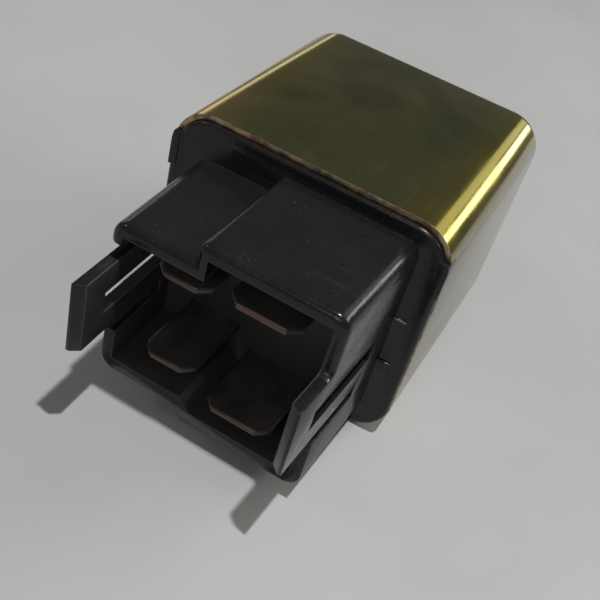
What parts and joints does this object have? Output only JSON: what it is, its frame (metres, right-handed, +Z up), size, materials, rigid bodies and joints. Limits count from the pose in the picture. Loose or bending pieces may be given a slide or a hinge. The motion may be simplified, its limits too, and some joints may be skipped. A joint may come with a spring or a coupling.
{
  "type": "automotive relay",
  "caption": "Plug-in automotive relay lying on its side: rounded sheet-metal can, black stepped connector shroud with slotted latch arms, flat blades inside, hinged armature within.",
  "frame": {"origin": "middle of the can's flat underside, as the relay lies on its side", "axes": "+Z up from the table, +Y along the can from the connector to the closed end, +X across the width towards the wide chamber of the connector"},
  "size_m": [0.0324, 0.0546, 0.0285],
  "materials": {
    "can_coating": "satin, dark olive brown coating on drawn sheet steel",
    "black_nylon": "semi-gloss black moulding",
    "blade_metal": "rolled copper alloy, lightly tarnished",
    "strip_metal": "rolled copper alloy",
    "bobbin_nylon": "natural moulding",
    "copper_wire": "enamelled copper",
    "tape": "thin amber film",
    "magnet_iron": "soft iron, plated",
    "stop_steel": "stamped strip",
    "spring_steel": "drawn wire",
    "contact_silver": "silver alloy",
    "braid_copper": "fine bare strands"
  },
  "bodies": {
    "relay_body": {"can": "can_coating", "base": "black_nylon", "coil_terminal_upper": "blade_metal", "coil_terminal_lower": "blade_metal", "fixed_contact_terminal": "blade_metal", "common_terminal": "blade_metal", "yoke": "magnet_iron", "iron_core": "magnet_iron", "bobbin": "bobbin_nylon", "coil_winding": "copper_wire", "coil_tape": "tape", "fixed_contact": "contact_silver", "return_spring": "spring_steel", "back_stop": "stop_steel", "flexible_braid": "braid_copper", "coil_lead_upper": "copper_wire", "coil_lead_lower": "copper_wire"},
    "armature_group": {"armature": "magnet_iron", "contact_leaf": "strip_metal", "armature_rivet_left": "strip_metal", "armature_rivet_right": "strip_metal", "moving_contact": "contact_silver"}
  },
  "joints": [
    {"name": "armature_hinge", "type": "hinge", "parent": "relay_body", "child": "armature_group", "pos_m": [-0.0106, 0.0111, 0.01425], "axis": [0, 0, -1], "range_deg": [0, 2.4], "stiffness_Nm_per_rad": 0.01, "springref_deg": -11.46, "deforming": ["return_spring", "flexible_braid"]}
  ]
}
